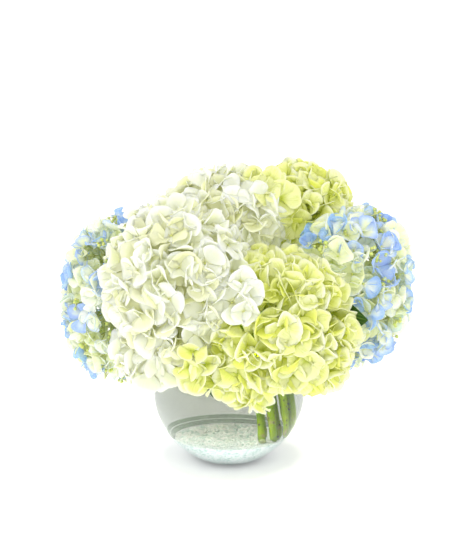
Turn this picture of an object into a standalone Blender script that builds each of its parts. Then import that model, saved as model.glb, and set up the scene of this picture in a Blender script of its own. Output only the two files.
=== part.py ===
"""Mophead hydrangeas standing in a glass bubble bowl of water, in metres, +Z up.

The origin is the middle of the bowl's foot. The front of the arrangement faces -Y. Every cutting
is a stem and a flower head; the heads rest on the bowl's rim and against each other, the stems
stand in the water on a bed of glass grit, and a few leaves hang between heads and glass.
"""
import math

import bmesh
import bpy
from mathutils import Matrix, Vector, noise

# Bowl
BOWL_RADIUS = 0.077          # outside of the round body
BOWL_WALL = 0.003
BASE_THICKNESS = 0.006       # glass under the filling
FOOT_RADIUS = 0.027          # flat that the bowl stands on
MOUTH_RADIUS = 0.051         # outside of the rim

# Filling
BED_DEPTH = 0.025            # grit on the floor of the bowl
WATER_DROP = 0.0235          # the water's surface below the top of the rim
FILL_GAP = 0.0004            # between glass, grit, water and stems

# Stems: one bunch that leans on the right of the rim, its cut ends near the glass
STEM_RADIUS = 0.0032
STEM_SPACE = 0.0012          # between neighbouring stems where the bunch is tightest
RIM_CLEAR = 0.006            # between the bunch and the rim
FOOT_CLEAR = 0.003           # between the cut ends and the glass
FOOT_FORWARD = 0.008         # the cut ends stand this far to the front
FOOT_SPREAD = 1.35           # spacing of the cut ends as a share of the spacing at the mouth
FOOT_LIFT = {"white_front": 0.003, "green_top": 0.016}    # stems cut too short to reach the grit
CUT_TILT = math.radians(38)
STEM_STEP = 0.011            # length of one segment of a stem
STEM_SIDES = 8
SOCKET_GAP = 0.0004          # around a stem in its flower head
STEM_DEPTH = 0.012           # how far below its head's centre a stem ends
RIM_PASS = 0.014             # a stem that leans out over the rim ends at least this far above it

# Flower heads: direction round the bowl in degrees, how far out from the rim and up from it the
# middle lies, and half sizes, each reaching to the tips of the florets
HEADS = {
    "white_front": (-128, 0.0252, 0.068, (0.073, 0.072, 0.086)),
    "white_top": (-129, -0.0446, 0.121, (0.060, 0.058, 0.054)),
    "white_low": (-146.3, 0.0319, -0.004, (0.045, 0.045, 0.047)),
    "white_back": (124, 0.0383, 0.055, (0.075, 0.074, 0.076)),
    "green_front": (-55.9, 0.0275, 0.025, (0.082, 0.072, 0.081)),
    "green_top": (27.8, 0.0304, 0.119, (0.056, 0.056, 0.051)),
    "green_back": (55.6, 0.0411, 0.049, (0.075, 0.074, 0.078)),
    "blue_right": (0, 0.0660, 0.053, (0.070, 0.069, 0.084)),
    "blue_left": (169.4, 0.0579, 0.033, (0.066, 0.068, 0.089)),
}
MIDDLE_STEMS = ("white_top", "green_top")
OUTER_STEMS = ("white_low", "white_front", "green_front", "blue_right", "green_back", "white_back",
               "blue_left")
FIRST_OUTER_ANGLE = math.radians(-150)
HEAD_BUMP = 0.055            # how far the florets swell and dip, as a share of the radius
HEAD_BUMP_RATE = 3.1
HEAD_GAP = 0.0003            # between neighbouring heads
HEAD_REST = 0.0035           # room between the glass and the heads, where the low leaves lie
HOLLOW_HEIGHT = 0.072        # bare space under the heads where the stems fan out

# Leaves
LEAF_THICKNESS = 0.0008
LEAF_GAP = 0.0004
LEAF_REST = 0.0014           # between the glass and the underside of a low leaf
STALK_WIDTH = 0.003
LOW_LEAVES = {               # direction round the bowl in degrees, blade length, blade width
    "leaf_front": (-101, 0.050, 0.040),
    "leaf_left": (-178, 0.042, 0.042),
    "leaf_back": (96, 0.048, 0.044),
    "leaf_right": (-8, 0.040, 0.040),
}
SIDE_LEAVES = {              # the heads it lies between, reach of its tip, stalk, blade, width
    "leaf_side": ("green_front", "blue_right", 0.073, 0.026, 0.082, 0.046),
}

BOWL_CENTRE_Z = math.sqrt(BOWL_RADIUS ** 2 - FOOT_RADIUS ** 2)
MOUTH_ANGLE = math.asin(MOUTH_RADIUS / BOWL_RADIUS)     # from straight up
MOUTH_TOP = (BOWL_CENTRE_Z + (BOWL_RADIUS - BOWL_WALL / 2) * math.cos(MOUTH_ANGLE)
             + BOWL_WALL / 2 * math.sin(MOUTH_ANGLE))
INNER_RADIUS = BOWL_RADIUS - BOWL_WALL
BED_TOP = BASE_THICKNESS + BED_DEPTH
WATER_LEVEL = MOUTH_TOP - WATER_DROP
BUNCH_PAIR = STEM_RADIUS + STEM_SPACE / 2     # the two inner stems stand this far off the middle
BUNCH_RING = BUNCH_PAIR + 2 * STEM_RADIUS + STEM_SPACE
BUNCH_RADIUS = BUNCH_RING + STEM_RADIUS


def material(name, colour, roughness, transmission=0.0):
    made = bpy.data.materials.new(name)
    made.use_nodes = True
    shader = made.node_tree.nodes["Principled BSDF"]
    shader.inputs["Base Color"].default_value = (*colour, 1.0)
    shader.inputs["Roughness"].default_value = roughness
    shader.inputs["Metallic"].default_value = 0.0
    shader.inputs["Transmission Weight"].default_value = transmission
    return made


def add_object(name, bm, look):
    """Turns a bmesh into a named, smooth-shaded object of flat faces, which Booleans need."""
    bmesh.ops.triangulate(bm, faces=bm.faces)
    bmesh.ops.recalc_face_normals(bm, faces=bm.faces)
    mesh = bpy.data.meshes.new(name)
    bm.to_mesh(mesh)
    bm.free()
    mesh.shade_smooth()
    mesh.set_sharp_from_angle(angle=math.radians(40))
    made = bpy.data.objects.new(name, mesh)
    if look:
        mesh.materials.append(look)
    bpy.context.scene.collection.objects.link(made)
    return made


def as_guide(made):
    """A guide shapes other pieces and is no piece itself."""
    made.hide_render = True
    made.display_type = "WIRE"
    return made


def cut(target, guide):
    step = target.modifiers.new("less_" + guide.name, "BOOLEAN")
    step.operation = "DIFFERENCE"
    step.solver = "EXACT"
    step.object = guide


# ---------------------------------------------------------------- turned pieces

def sphere_point(radius, angle):
    """(radius, height) on a ball about the bowl's centre, at an angle from straight up."""
    return radius * math.sin(angle), BOWL_CENTRE_Z + radius * math.cos(angle)


def sphere_arc(radius, first, last, steps):
    return [sphere_point(radius, first + (last - first) * i / steps) for i in range(steps + 1)]


def angle_at_height(radius, height):
    return math.acos((height - BOWL_CENTRE_Z) / radius)


def turn(name, profile, look, segments=40):
    """Turns a profile that starts and ends on the axis into a closed body."""
    bm = bmesh.new()
    verts = [bm.verts.new((radius, 0.0, height)) for radius, height in profile]
    edges = [bm.edges.new(pair) for pair in zip(verts, verts[1:])]
    bmesh.ops.spin(bm, geom=verts + edges, axis=(0, 0, 1), cent=(0, 0, 0), angle=math.tau,
                   steps=segments, use_merge=True)
    bmesh.ops.remove_doubles(bm, verts=bm.verts, dist=1e-6)
    return add_object(name, bm, look)


def glass_bowl(look):
    foot_angle = math.pi - math.asin(FOOT_RADIUS / BOWL_RADIUS)
    floor_angle = angle_at_height(INNER_RADIUS, BASE_THICKNESS)
    middle = sphere_point(BOWL_RADIUS - BOWL_WALL / 2, MOUTH_ANGLE)
    lip = [(middle[0] + BOWL_WALL / 2 * math.sin(MOUTH_ANGLE - turned),
            middle[1] + BOWL_WALL / 2 * math.cos(MOUTH_ANGLE - turned))
           for turned in (math.pi * i / 5 for i in range(1, 5))]
    profile = [(0.0, 0.0)] + sphere_arc(BOWL_RADIUS, foot_angle, MOUTH_ANGLE, 18)
    profile += lip + sphere_arc(INNER_RADIUS, MOUTH_ANGLE, floor_angle, 17)
    return turn("glass_bowl", profile + [(0.0, BASE_THICKNESS)], look)


def filling(name, bottom, top, look):
    """A body that fills the bowl between two heights."""
    radius = INNER_RADIUS - FILL_GAP
    wall = sphere_arc(radius, angle_at_height(radius, bottom), angle_at_height(radius, top), 9)
    return turn(name, [(0.0, bottom)] + wall + [(0.0, top)], look)


def bowl_room():
    """The bowl with the room that heads keep round it, closed over the mouth."""
    radius = BOWL_RADIUS + HEAD_REST
    top = MOUTH_TOP + HEAD_REST
    wall = sphere_arc(radius, math.radians(175), angle_at_height(radius, top), 15)
    profile = [(0.0, wall[0][1])] + wall + [(0.0, top)]
    return as_guide(turn("bowl_room", profile, None, segments=32))


def hollow_room():
    """The bare space above the mouth, a rounded hood over the stems."""
    steps = 7
    bottom = MOUTH_TOP - HEAD_REST
    radius = INNER_RADIUS * math.sin(MOUTH_ANGLE)
    hood = [(radius * math.cos(math.pi / 2 * i / steps),
             MOUTH_TOP + HOLLOW_HEIGHT * math.sin(math.pi / 2 * i / steps)) for i in range(steps)]
    profile = [(0.0, bottom), (radius, bottom)] + hood + [(0.0, MOUTH_TOP + HOLLOW_HEIGHT)]
    return as_guide(turn("hollow_room", profile, None, segments=28))


# ---------------------------------------------------------------- stems

def bunch_middle():
    inner_rim = INNER_RADIUS * math.sin(MOUTH_ANGLE)
    return Vector((inner_rim - RIM_CLEAR - BUNCH_RADIUS, 0.0, 0.0))


def foot_middle():
    inner_wall = INNER_RADIUS * math.sin(angle_at_height(INNER_RADIUS, BED_TOP))
    spread = BUNCH_RING * FOOT_SPREAD + STEM_RADIUS
    return Vector((inner_wall - FOOT_CLEAR - spread, -FOOT_FORWARD, 0.0))


def head_centre(name):
    degrees, out, up, _ = HEADS[name]
    angle = math.radians(degrees)
    away = MOUTH_RADIUS + out
    return Vector((away * math.cos(angle), away * math.sin(angle), MOUTH_TOP + up))


def bezier(a, b, c, d, t):
    s = 1 - t
    return a * s ** 3 + b * 3 * s * s * t + c * 3 * s * t * t + d * t ** 3


def mouth_points():
    """Where each stem passes through the mouth of the bowl."""
    points = {}
    for i, name in enumerate(OUTER_STEMS):
        angle = FIRST_OUTER_ANGLE + math.tau * i / len(OUTER_STEMS)
        points[name] = bunch_middle() + Vector((math.cos(angle), math.sin(angle), 0.0)) * BUNCH_RING
    for side, name in zip((-1, 1), MIDDLE_STEMS):
        points[name] = bunch_middle() + Vector((side * BUNCH_PAIR, 0.0, 0.0))
    for point in points.values():
        point.z = MOUTH_TOP
    return points


def foot_point(name, mouth):
    """Where a stem's cut end is, with stems spread wider there than at the mouth."""
    foot = foot_middle() + FOOT_SPREAD * (mouth - bunch_middle())
    foot.z = BED_TOP + FOOT_LIFT.get(name, 0.0)
    return foot


def stem_path(name, mouth, extra_foot=0.0, extra_top=0.0):
    """Points from the cut end, through the mouth and up into the flower head."""
    foot = foot_point(name, mouth)
    rise = (mouth - foot).normalized()
    centre = head_centre(name)
    outward = (centre - mouth).normalized()
    end = centre - outward * STEM_DEPTH
    end.z = max(end.z, MOUTH_TOP + RIM_PASS)
    reach = (end - mouth).length
    start = foot - rise * extra_foot
    straight = max(2, round((mouth - start).length / STEM_STEP))
    points = [start.lerp(mouth, i / straight) for i in range(straight)]
    curved = max(4, round(reach / STEM_STEP))
    points += [bezier(mouth, mouth + rise * reach * 0.38, end - outward * reach * 0.30, end, i / curved)
               for i in range(curved + 1)]
    points[-1] += (points[-1] - points[-2]).normalized() * extra_top
    return points


def tube(bm, points, radius):
    """A round bar through points, closed at both ends."""
    rings = []
    last = len(points) - 1
    for i, point in enumerate(points):
        along = points[min(i + 1, last)] - points[max(i - 1, 0)]
        place = Vector((0, 0, 1)).rotation_difference(along).to_matrix().to_4x4()
        place.translation = point
        made = bmesh.ops.create_circle(bm, segments=STEM_SIDES, radius=radius, matrix=place,
                                       cap_ends=i in (0, last))
        rings.append({edge for vert in made["verts"] for edge in vert.link_edges})
    for lower, upper in zip(rings, rings[1:]):
        bmesh.ops.bridge_loops(bm, edges=list(lower | upper))


def slice_off(bm, point, normal):
    """Takes away what lies beyond a plane and closes the cut."""
    bmesh.ops.bisect_plane(bm, geom=bm.verts[:] + bm.edges[:] + bm.faces[:], dist=1e-6,
                           plane_co=point, plane_no=normal, clear_outer=True)
    rim = [edge for edge in bm.edges if edge.is_boundary]
    if rim:
        bmesh.ops.holes_fill(bm, edges=rim, sides=len(rim))


def stem(name, mouth, index, look):
    """A stem with a slanting cut end."""
    bm = bmesh.new()
    tube(bm, stem_path(name, mouth, extra_foot=0.008), STEM_RADIUS)
    foot = foot_point(name, mouth)
    floor = foot.z + FILL_GAP
    foot.z = floor + STEM_RADIUS * math.tan(CUT_TILT) * 0.95
    slant = Matrix.Rotation(index * 2.4, 3, "Z") @ Vector((math.sin(CUT_TILT), 0, -math.cos(CUT_TILT)))
    slice_off(bm, foot, slant)
    slice_off(bm, Vector((0, 0, floor)), Vector((0, 0, -1)))
    return add_object("stem_" + name, bm, look)


def stem_room(name, mouth):
    bm = bmesh.new()
    tube(bm, stem_path(name, mouth, extra_foot=0.006, extra_top=SOCKET_GAP), STEM_RADIUS + SOCKET_GAP)
    return as_guide(add_object("room_stem_" + name, bm, None))


# ---------------------------------------------------------------- flower heads

def reach_of(sizes, direction):
    """Distance from the middle of an ellipsoid to its surface."""
    return 1 / math.sqrt(sum((d / size) ** 2 for d, size in zip(direction, sizes)))


def meeting_plane(name, other):
    """Where two heads press against each other: a point and the direction to the other head."""
    centre = head_centre(name)
    apart = head_centre(other) - centre
    direction = apart.normalized()
    near = reach_of(HEADS[name][3], direction)
    far = reach_of(HEADS[other][3], direction)
    return centre + apart * near / (near + far), direction


def flower_head(name, index, look):
    """A lumpy ball, flattened where it meets its neighbours."""
    centre = head_centre(name)
    sizes = HEADS[name][3]
    bm = bmesh.new()
    bmesh.ops.create_uvsphere(bm, u_segments=26, v_segments=16, radius=1.0)
    for vert in bm.verts:
        lump = noise.noise(vert.co * HEAD_BUMP_RATE + Vector((0, 0, 10 * index)))
        swell = 1 + HEAD_BUMP * (lump - 0.5)
        vert.co = centre + Vector([swell * c * size for c, size in zip(vert.co, sizes)])
    for other in HEADS:
        if other != name:
            point, direction = meeting_plane(name, other)
            slice_off(bm, point - direction * HEAD_GAP / 2, direction)
    return add_object("head_" + name, bm, look)


# ---------------------------------------------------------------- leaves

def leaf(name, place, stalk, blade, width, look, grow=0.0):
    """A thin blade on a stalk. place() puts a point at (along, across) where it lies."""
    bm = bmesh.new()
    bmesh.ops.create_grid(bm, x_segments=13, y_segments=4, size=1.0)
    for vert in bm.verts:
        t = (vert.co.x + 1) / 2
        along = t * (stalk + blade + 2 * grow) - grow
        on_blade = min(1.0, max(0.0, (along - stalk) / blade))
        half = max(STALK_WIDTH / 2 * (1 - 0.7 * t),
                   width / 2 * math.sin(math.pi * on_blade ** 0.8) ** 0.85)
        vert.co = place(along, vert.co.y * (half + grow))
    made = add_object(name, bm, look)
    shell = made.modifiers.new("thickness", "SOLIDIFY")
    shell.thickness = LEAF_THICKNESS + 2 * grow
    shell.offset = 0.0
    return made


def low_leaf_place(degrees):
    """A leaf on a stalk that runs from the bunch to the rim, its blade against the glass outside."""
    direction = math.radians(degrees)
    radius = BOWL_RADIUS + LEAF_REST + LEAF_THICKNESS / 2
    top = MOUTH_TOP + LEAF_REST + LEAF_THICKNESS / 2
    edge_angle = angle_at_height(radius, top)
    edge = Matrix.Rotation(direction, 3, "Z") @ Vector((radius * math.sin(edge_angle), 0, 0))
    run = (edge - bunch_middle()).normalized()
    start = bunch_middle() + run * (BUNCH_RADIUS + LEAF_GAP)
    sideways = Vector((-run.y, run.x, 0))
    stalk = (edge - start).length

    def place(along, across):
        if along <= stalk:
            return start + run * along + sideways * across + Vector((0, 0, top))
        angle = edge_angle + (along - stalk) / radius
        ring = radius * math.sin(angle)
        spot = Vector((ring * math.cos(across / ring), ring * math.sin(across / ring),
                       BOWL_CENTRE_Z + radius * math.cos(angle)))
        return Matrix.Rotation(direction, 3, "Z") @ spot

    return place, stalk


def side_leaf_place(near, far, reach, length):
    """A leaf pressed between two heads, its tip showing outside them."""
    middle, normal = meeting_plane(near, far)
    outward = normal.cross(Vector((0, 0, 1))).normalized()
    upward = outward.cross(normal).normalized()

    def place(along, across):
        return middle + outward * (reach - length + along) + upward * across

    return place


def leaves(look, grow=0.0, prefix=""):
    made = []
    for name, (degrees, blade, width) in LOW_LEAVES.items():
        place, stalk = low_leaf_place(degrees)
        made.append(leaf(prefix + name, place, stalk, blade, width, look, grow))
    for name, (near, far, reach, stalk, blade, width) in SIDE_LEAVES.items():
        place = side_leaf_place(near, far, reach, stalk + blade)
        made.append(leaf(prefix + name, place, stalk, blade, width, look, grow))
    return made


# ---------------------------------------------------------------- the arrangement

for old in list(bpy.data.objects):
    bpy.data.objects.remove(old)

GLASS = material("clear_glass", (0.93, 0.97, 0.96), 0.02, 1.0)
WATER = material("water", (0.95, 0.99, 0.99), 0.0, 1.0)
GRIT = material("glass_grit", (0.72, 0.83, 0.80), 0.45)
STALK = material("green_stalk", (0.32, 0.42, 0.11), 0.55)
LEAF = material("leaf_green", (0.04, 0.12, 0.03), 0.5)
PETALS = {
    "white": material("white_sepals", (0.86, 0.86, 0.78), 0.6),
    "green": material("green_sepals", (0.68, 0.76, 0.30), 0.6),
    "blue": material("blue_sepals", (0.45, 0.58, 0.85), 0.6),
}

glass_bowl(GLASS)
filling("grit_bed", BASE_THICKNESS + FILL_GAP, BED_TOP, GRIT)
water = filling("water", BED_TOP + FILL_GAP, WATER_LEVEL, WATER)

mouths = mouth_points()
stem_rooms = []
for number, head_name in enumerate(HEADS):
    stem(head_name, mouths[head_name], number, STALK)
    stem_rooms.append(stem_room(head_name, mouths[head_name]))
for room in stem_rooms:
    cut(water, room)

leaves(LEAF)
head_rooms = [bowl_room(), hollow_room()] + stem_rooms + leaves(None, LEAF_GAP, "room_")
for room in head_rooms:
    as_guide(room)
for number, head_name in enumerate(HEADS):
    flower = flower_head(head_name, number, PETALS[head_name.split("_")[0]])
    for room in head_rooms:
        cut(flower, room)
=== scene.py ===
import math
import random

import bmesh
import bpy
from mathutils import Matrix, Vector, noise


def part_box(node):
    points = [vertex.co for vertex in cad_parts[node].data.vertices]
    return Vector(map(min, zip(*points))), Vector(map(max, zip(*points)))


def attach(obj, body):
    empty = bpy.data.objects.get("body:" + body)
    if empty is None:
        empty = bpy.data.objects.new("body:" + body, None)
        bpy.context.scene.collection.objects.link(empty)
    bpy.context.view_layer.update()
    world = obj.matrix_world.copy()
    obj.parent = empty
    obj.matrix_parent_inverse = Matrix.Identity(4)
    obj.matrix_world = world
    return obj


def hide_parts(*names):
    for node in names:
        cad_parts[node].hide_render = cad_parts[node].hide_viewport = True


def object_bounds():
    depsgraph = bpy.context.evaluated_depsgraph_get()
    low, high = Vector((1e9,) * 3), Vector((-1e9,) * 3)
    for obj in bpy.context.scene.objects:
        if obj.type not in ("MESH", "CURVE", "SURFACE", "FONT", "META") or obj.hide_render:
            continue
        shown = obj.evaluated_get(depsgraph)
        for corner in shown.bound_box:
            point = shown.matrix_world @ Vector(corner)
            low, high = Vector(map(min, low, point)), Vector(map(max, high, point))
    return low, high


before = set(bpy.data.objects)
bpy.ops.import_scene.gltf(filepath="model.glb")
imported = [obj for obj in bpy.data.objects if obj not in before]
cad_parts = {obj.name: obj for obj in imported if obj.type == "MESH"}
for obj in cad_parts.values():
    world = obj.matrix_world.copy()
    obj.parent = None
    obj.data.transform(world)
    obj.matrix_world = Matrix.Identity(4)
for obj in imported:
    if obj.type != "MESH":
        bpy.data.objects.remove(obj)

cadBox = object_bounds()
scene = bpy.context.scene
mm = 0.001
up = Vector((0, 0, 1))


def linear(hexColour):
    channels = [int(hexColour[i:i + 2], 16) / 255 for i in (1, 3, 5)]
    return tuple(c / 12.92 if c <= 0.04045 else ((c + 0.055) / 1.055) ** 2.4 for c in channels) + (1.0,)


def addNode(tree, kind, settings=None, links=None):
    node = tree.nodes.new(kind)
    for key, value in (settings or {}).items():
        if isinstance(key, int) or not hasattr(node, key):
            node.inputs[key].default_value = value
        else:
            setattr(node, key, value)
    for key, socket in (links or {}).items():
        tree.links.new(socket, node.inputs[key])
    return node


def newMaterial(name, settings):
    made = bpy.data.materials.new(name)
    made.use_nodes = True
    shader = made.node_tree.nodes["Principled BSDF"]
    for key, value in settings.items():
        shader.inputs[key].default_value = value
    return made, made.node_tree, shader


def smoothstep(low, high, x):
    t = min(1.0, max(0.0, (x - low) / (high - low)))
    return t * t * (3 - 2 * t)


def finishPiece(name, bm, materials, slot, *nodes):
    mesh = bpy.data.meshes.new(name)
    bm.to_mesh(mesh)
    bm.free()
    mesh.shade_smooth()
    for look in materials:
        mesh.materials.append(look)
    piece = bpy.data.objects.new(name, mesh)
    scene.collection.objects.link(piece)
    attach(piece, "root")
    if nodes:
        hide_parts(*nodes)
    return piece


def turnProfile(bm, profile, steps):
    verts = [bm.verts.new((r, 0.0, z)) for r, z in profile]
    edges = [bm.edges.new(pair) for pair in zip(verts, verts[1:])]
    bmesh.ops.spin(bm, geom=verts + edges, axis=(0, 0, 1), cent=(0, 0, 0), angle=math.tau,
                   steps=steps, use_merge=True)
    bmesh.ops.remove_doubles(bm, verts=bm.verts, dist=1e-6)
    bmesh.ops.recalc_face_normals(bm, faces=bm.faces)


def sweepTube(bm, points, radii, sides):
    # a round bar along points, closed at both ends
    rings, last = [], len(points) - 1
    for i, point in enumerate(points):
        along = points[min(i + 1, last)] - points[max(i - 1, 0)]
        place = up.rotation_difference(along).to_matrix().to_4x4()
        place.translation = point
        made = bmesh.ops.create_circle(bm, segments=sides, radius=radii[i], matrix=place,
                                       cap_ends=i in (0, last))
        rings.append({edge for vert in made["verts"] for edge in vert.link_edges})
    for lower, upper in zip(rings, rings[1:]):
        bmesh.ops.bridge_loops(bm, edges=list(lower | upper))


# where things are comes from the frame
bowlLow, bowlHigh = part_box("glass_bowl")
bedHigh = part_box("grit_bed")[1]
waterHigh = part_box("water")[1]

bowl = {
    "radius": (bowlHigh.x - bowlLow.x) / 2,
    "wall": 3 * mm,
    "base": 6 * mm,           # thickness of the glass over the foot
    "foot": 27 * mm,          # radius it stands on
    "mouth": 51 * mm,         # radius of the opening, outside
    "steps": 144,
}
bowlCentreZ = math.sqrt(bowl["radius"] ** 2 - bowl["foot"] ** 2)
mouthAngle = math.asin(bowl["mouth"] / bowl["radius"])
innerRadius = bowl["radius"] - bowl["wall"]
rimTop = bowlHigh.z
mouthTop = (bowlCentreZ + (bowl["radius"] - bowl["wall"] / 2) * math.cos(mouthAngle)
            + bowl["wall"] / 2 * math.sin(mouthAngle))
bowlCentre = Vector((0, 0, bowlCentreZ))


def ballPoint(radius, angle):
    return radius * math.sin(angle), bowlCentreZ + radius * math.cos(angle)


def ballArc(radius, first, last, steps):
    return [ballPoint(radius, first + (last - first) * i / steps) for i in range(steps + 1)]


def ballAngle(radius, height):
    return math.acos((height - bowlCentreZ) / radius)


def letLampsThrough(tree, shader):
    # focused light takes too long to gather, so shadow rays pass straight through
    path = addNode(tree, "ShaderNodeLightPath")
    clear = addNode(tree, "ShaderNodeBsdfTransparent")
    mixed = addNode(tree, "ShaderNodeMixShader", None, {0: path.outputs["Is Shadow Ray"],
                                                       1: shader.outputs[0], 2: clear.outputs[0]})
    tree.links.new(mixed.outputs[0], tree.nodes["Material Output"].inputs["Surface"])


def bowlGlass():
    # soda-lime glass, blown and fire-polished: clear face on, sea green where it is seen edge on
    # glass, water and wet wall are each shaded as if against air, so their mirror shares are cut down
    made, tree, shader = newMaterial("sodaLimeGlass", {
        "Base Color": (1.0, 1.0, 1.0, 1.0), "Roughness": 0.0, "IOR": 1.5, "Transmission Weight": 1.0,
        "Specular Tint": (0.5, 0.5, 0.5, 1.0)})
    letLampsThrough(tree, shader)
    place = addNode(tree, "ShaderNodeTexCoord")
    split = addNode(tree, "ShaderNodeSeparateXYZ", None, {0: place.outputs["Object"]})
    atFoot = addNode(tree, "ShaderNodeMapRange",
                     {"interpolation_type": "SMOOTHSTEP", 1: 2.8 * mm, 2: 5.2 * mm, 3: 1.0, 4: 0.0},
                     {0: split.outputs[2]})
    # the thick foot gathers the green of the glass, and painted shade darkens it further: the shadow
    # under the bowl seen through the foot
    footGreenAndShade = addNode(tree, "ShaderNodeMix",
                     {"data_type": "RGBA", 6: linear("#FFFFFF"), 7: linear("#2F6458")},
                     {0: atFoot.outputs[0]})
    tree.links.new(footGreenAndShade.outputs[2], shader.inputs["Base Color"])
    body = addNode(tree, "ShaderNodeVolumeAbsorption", {"Color": linear("#5FA79A"), "Density": 40.0})
    tree.links.new(body.outputs[0], tree.nodes["Material Output"].inputs["Volume"])
    return made


def flowerWater():
    # water that cut stalks have stood in: clear, but it greys what is seen across the whole bowl; the
    # grey is partly the water's own faint cloudiness and partly painted shade, for the shaded table seen
    # through it
    made, tree, shader = newMaterial("flowerWater", {
        "Base Color": (1.0, 1.0, 1.0, 1.0), "Roughness": 0.0, "IOR": 1.333, "Transmission Weight": 1.0,
        "Specular Tint": (0.15, 0.15, 0.15, 1.0)})
    letLampsThrough(tree, shader)
    body = addNode(tree, "ShaderNodeVolumeAbsorption", {"Color": linear("#C9C8BE"), "Density": 14.2})
    tree.links.new(body.outputs[0], tree.nodes["Material Output"].inputs["Volume"])
    return made


def makeBowl():
    footAngle = math.pi - math.asin(bowl["foot"] / bowl["radius"])
    floorAngle = ballAngle(innerRadius, bowl["base"])
    lipMiddle = ballPoint(bowl["radius"] - bowl["wall"] / 2, mouthAngle)
    lip = [(lipMiddle[0] + bowl["wall"] / 2 * math.sin(mouthAngle - turned),
            lipMiddle[1] + bowl["wall"] / 2 * math.cos(mouthAngle - turned))
           for turned in (math.pi * i / 10 for i in range(1, 10))]
    foot = [(0.0, 1.2 * mm), (bowl["foot"] * 0.45, 0.9 * mm), (bowl["foot"] * 0.78, 0.25 * mm),
            (bowl["foot"] * 0.9, 0.0)]    # the foot is ground in a ring, and hollowed a little
    profile = foot + ballArc(bowl["radius"], footAngle, mouthAngle, 54)
    profile += lip + ballArc(innerRadius, mouthAngle, floorAngle, 54) + [(0.0, bowl["base"])]
    bm = bmesh.new()
    turnProfile(bm, profile, bowl["steps"])
    return finishPiece("bubble_bowl", bm, [bowlGlass()], "bowl_glass", "glass_bowl")


waterForm = {
    "wet": 0.15 * mm,         # it wets the glass, so its skin lies this far inside the wall's own surface
    "below": 1.2 * mm,        # its middle lies this far below the edge's highest point in the frame
    "meniscus": (3.5 * mm, 1.6 * mm),    # width and height
}


def makeWater():
    skin = innerRadius + waterForm["wet"]
    floor = bowl["base"] - waterForm["wet"]
    level = waterHigh.z - waterForm["below"]
    wide, high = waterForm["meniscus"]
    wall = ballArc(skin, ballAngle(skin, floor), ballAngle(skin, level + high), 60)
    edge = wall[-1][0]
    meniscus = [(edge - wide * t, level + high * (1 - t) ** 3) for t in (0.25, 0.5, 0.75, 1.0)]
    profile = [(0.0, floor)] + wall + meniscus + [(0.0, level)]
    bm = bmesh.new()
    turnProfile(bm, profile, bowl["steps"])
    return finishPiece("water_fill", bm, [flowerWater()], "water", "water")


grit = {
    "grain": 1.9 * mm,
    "loose": 900,             # grains that lie free on top
    "rough": 0.5 * mm,
    "dunes": 0.8 * mm,
    "sunk": 0.6 * mm,         # the bed's own top lies this far under the loose grains
    "rings": 44,
    "seed": 11,
}


def gritGlass():
    # crushed and tumbled glass, about 1 to 2 mm: each grain its own pale tone, dull as beach glass
    made, tree, shader = newMaterial("tumbledGlassGrit", {"Roughness": 0.42, "IOR": 1.5})
    place = addNode(tree, "ShaderNodeTexCoord")
    cells = addNode(tree, "ShaderNodeTexVoronoi", {"Scale": 1 / grit["grain"], "Randomness": 1.0},
                    {"Vector": place.outputs["Object"]})
    tone = addNode(tree, "ShaderNodeSeparateColor", None, {"Color": cells.outputs["Color"]})
    ramp = addNode(tree, "ShaderNodeValToRGB", None, {"Fac": tone.outputs[0]})
    stops = ramp.color_ramp.elements
    stops[0].position, stops[0].color = 0.0, linear("#C2D5D0")
    stops[1].position, stops[1].color = 1.0, linear("#FFFFFF")
    for position, colour in ((0.25, "#E6F0ED"), (0.55, "#F8FBFA")):
        stop = stops.new(position)
        stop.color = linear(colour)
    bump = addNode(tree, "ShaderNodeBump", {"Strength": 0.6, "Distance": 0.3 * mm},
                   {"Height": cells.outputs["Distance"]})
    tree.links.new(ramp.outputs["Color"], shader.inputs["Base Color"])
    tree.links.new(bump.outputs["Normal"], shader.inputs["Normal"])
    return made


def makeGrit():
    rnd = random.Random(grit["seed"])
    skin = innerRadius - 0.25 * mm
    floor = bowl["base"] + 0.2 * mm
    level = bedHigh.z - grit["sunk"]
    wall = ballArc(skin, ballAngle(skin, floor), ballAngle(skin, level), 26)
    edge = wall[-1][0]
    top = [(edge * (1 - i / grit["rings"]), level) for i in range(1, grit["rings"])]
    bm = bmesh.new()
    turnProfile(bm, [(0.0, floor)] + wall + top + [(0.0, level)], 120)
    for vert in bm.verts:
        away = (vert.co - bowlCentre).length
        if away < skin - 0.5 * mm and vert.co.z > floor + 1 * mm:
            grains = grit["rough"] * noise.noise(vert.co / (2.2 * mm))
            dunes = grit["dunes"] * noise.noise(vert.co / (16 * mm))
            vert.co.z += grains + dunes
    for _ in range(grit["loose"]):
        angle, out = rnd.uniform(0, math.tau), (edge - 2 * mm) * math.sqrt(rnd.random())
        size = grit["grain"] * rnd.uniform(0.35, 0.8)
        height = bedHigh.z - rnd.uniform(0.1, 0.7) * mm
        spot = Vector((out * math.cos(angle), out * math.sin(angle), height))
        turn = rnd.uniform(0, 3)
        axis = Vector((rnd.random(), rnd.random(), rnd.random()))
        flattened = Matrix.Diagonal((1, rnd.uniform(0.6, 1), rnd.uniform(0.5, 0.9), 1))
        place = Matrix.Translation(spot) @ Matrix.Rotation(turn, 4, axis) @ flattened
        bmesh.ops.create_icosphere(bm, subdivisions=1, radius=size, matrix=place)
    return finishPiece("grit_bed_fine", bm, [gritGlass()], "grit", "grit_bed")


paintedBandFilm = {
    "bands": ((0.1 * mm, 2.1 * mm), (2.5 * mm, 4.2 * mm)),    # heights over the bed, clear between
    "gap": 0.5 * mm,
    "thick": 0.3 * mm,
    "cover": 0.55,
}


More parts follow.
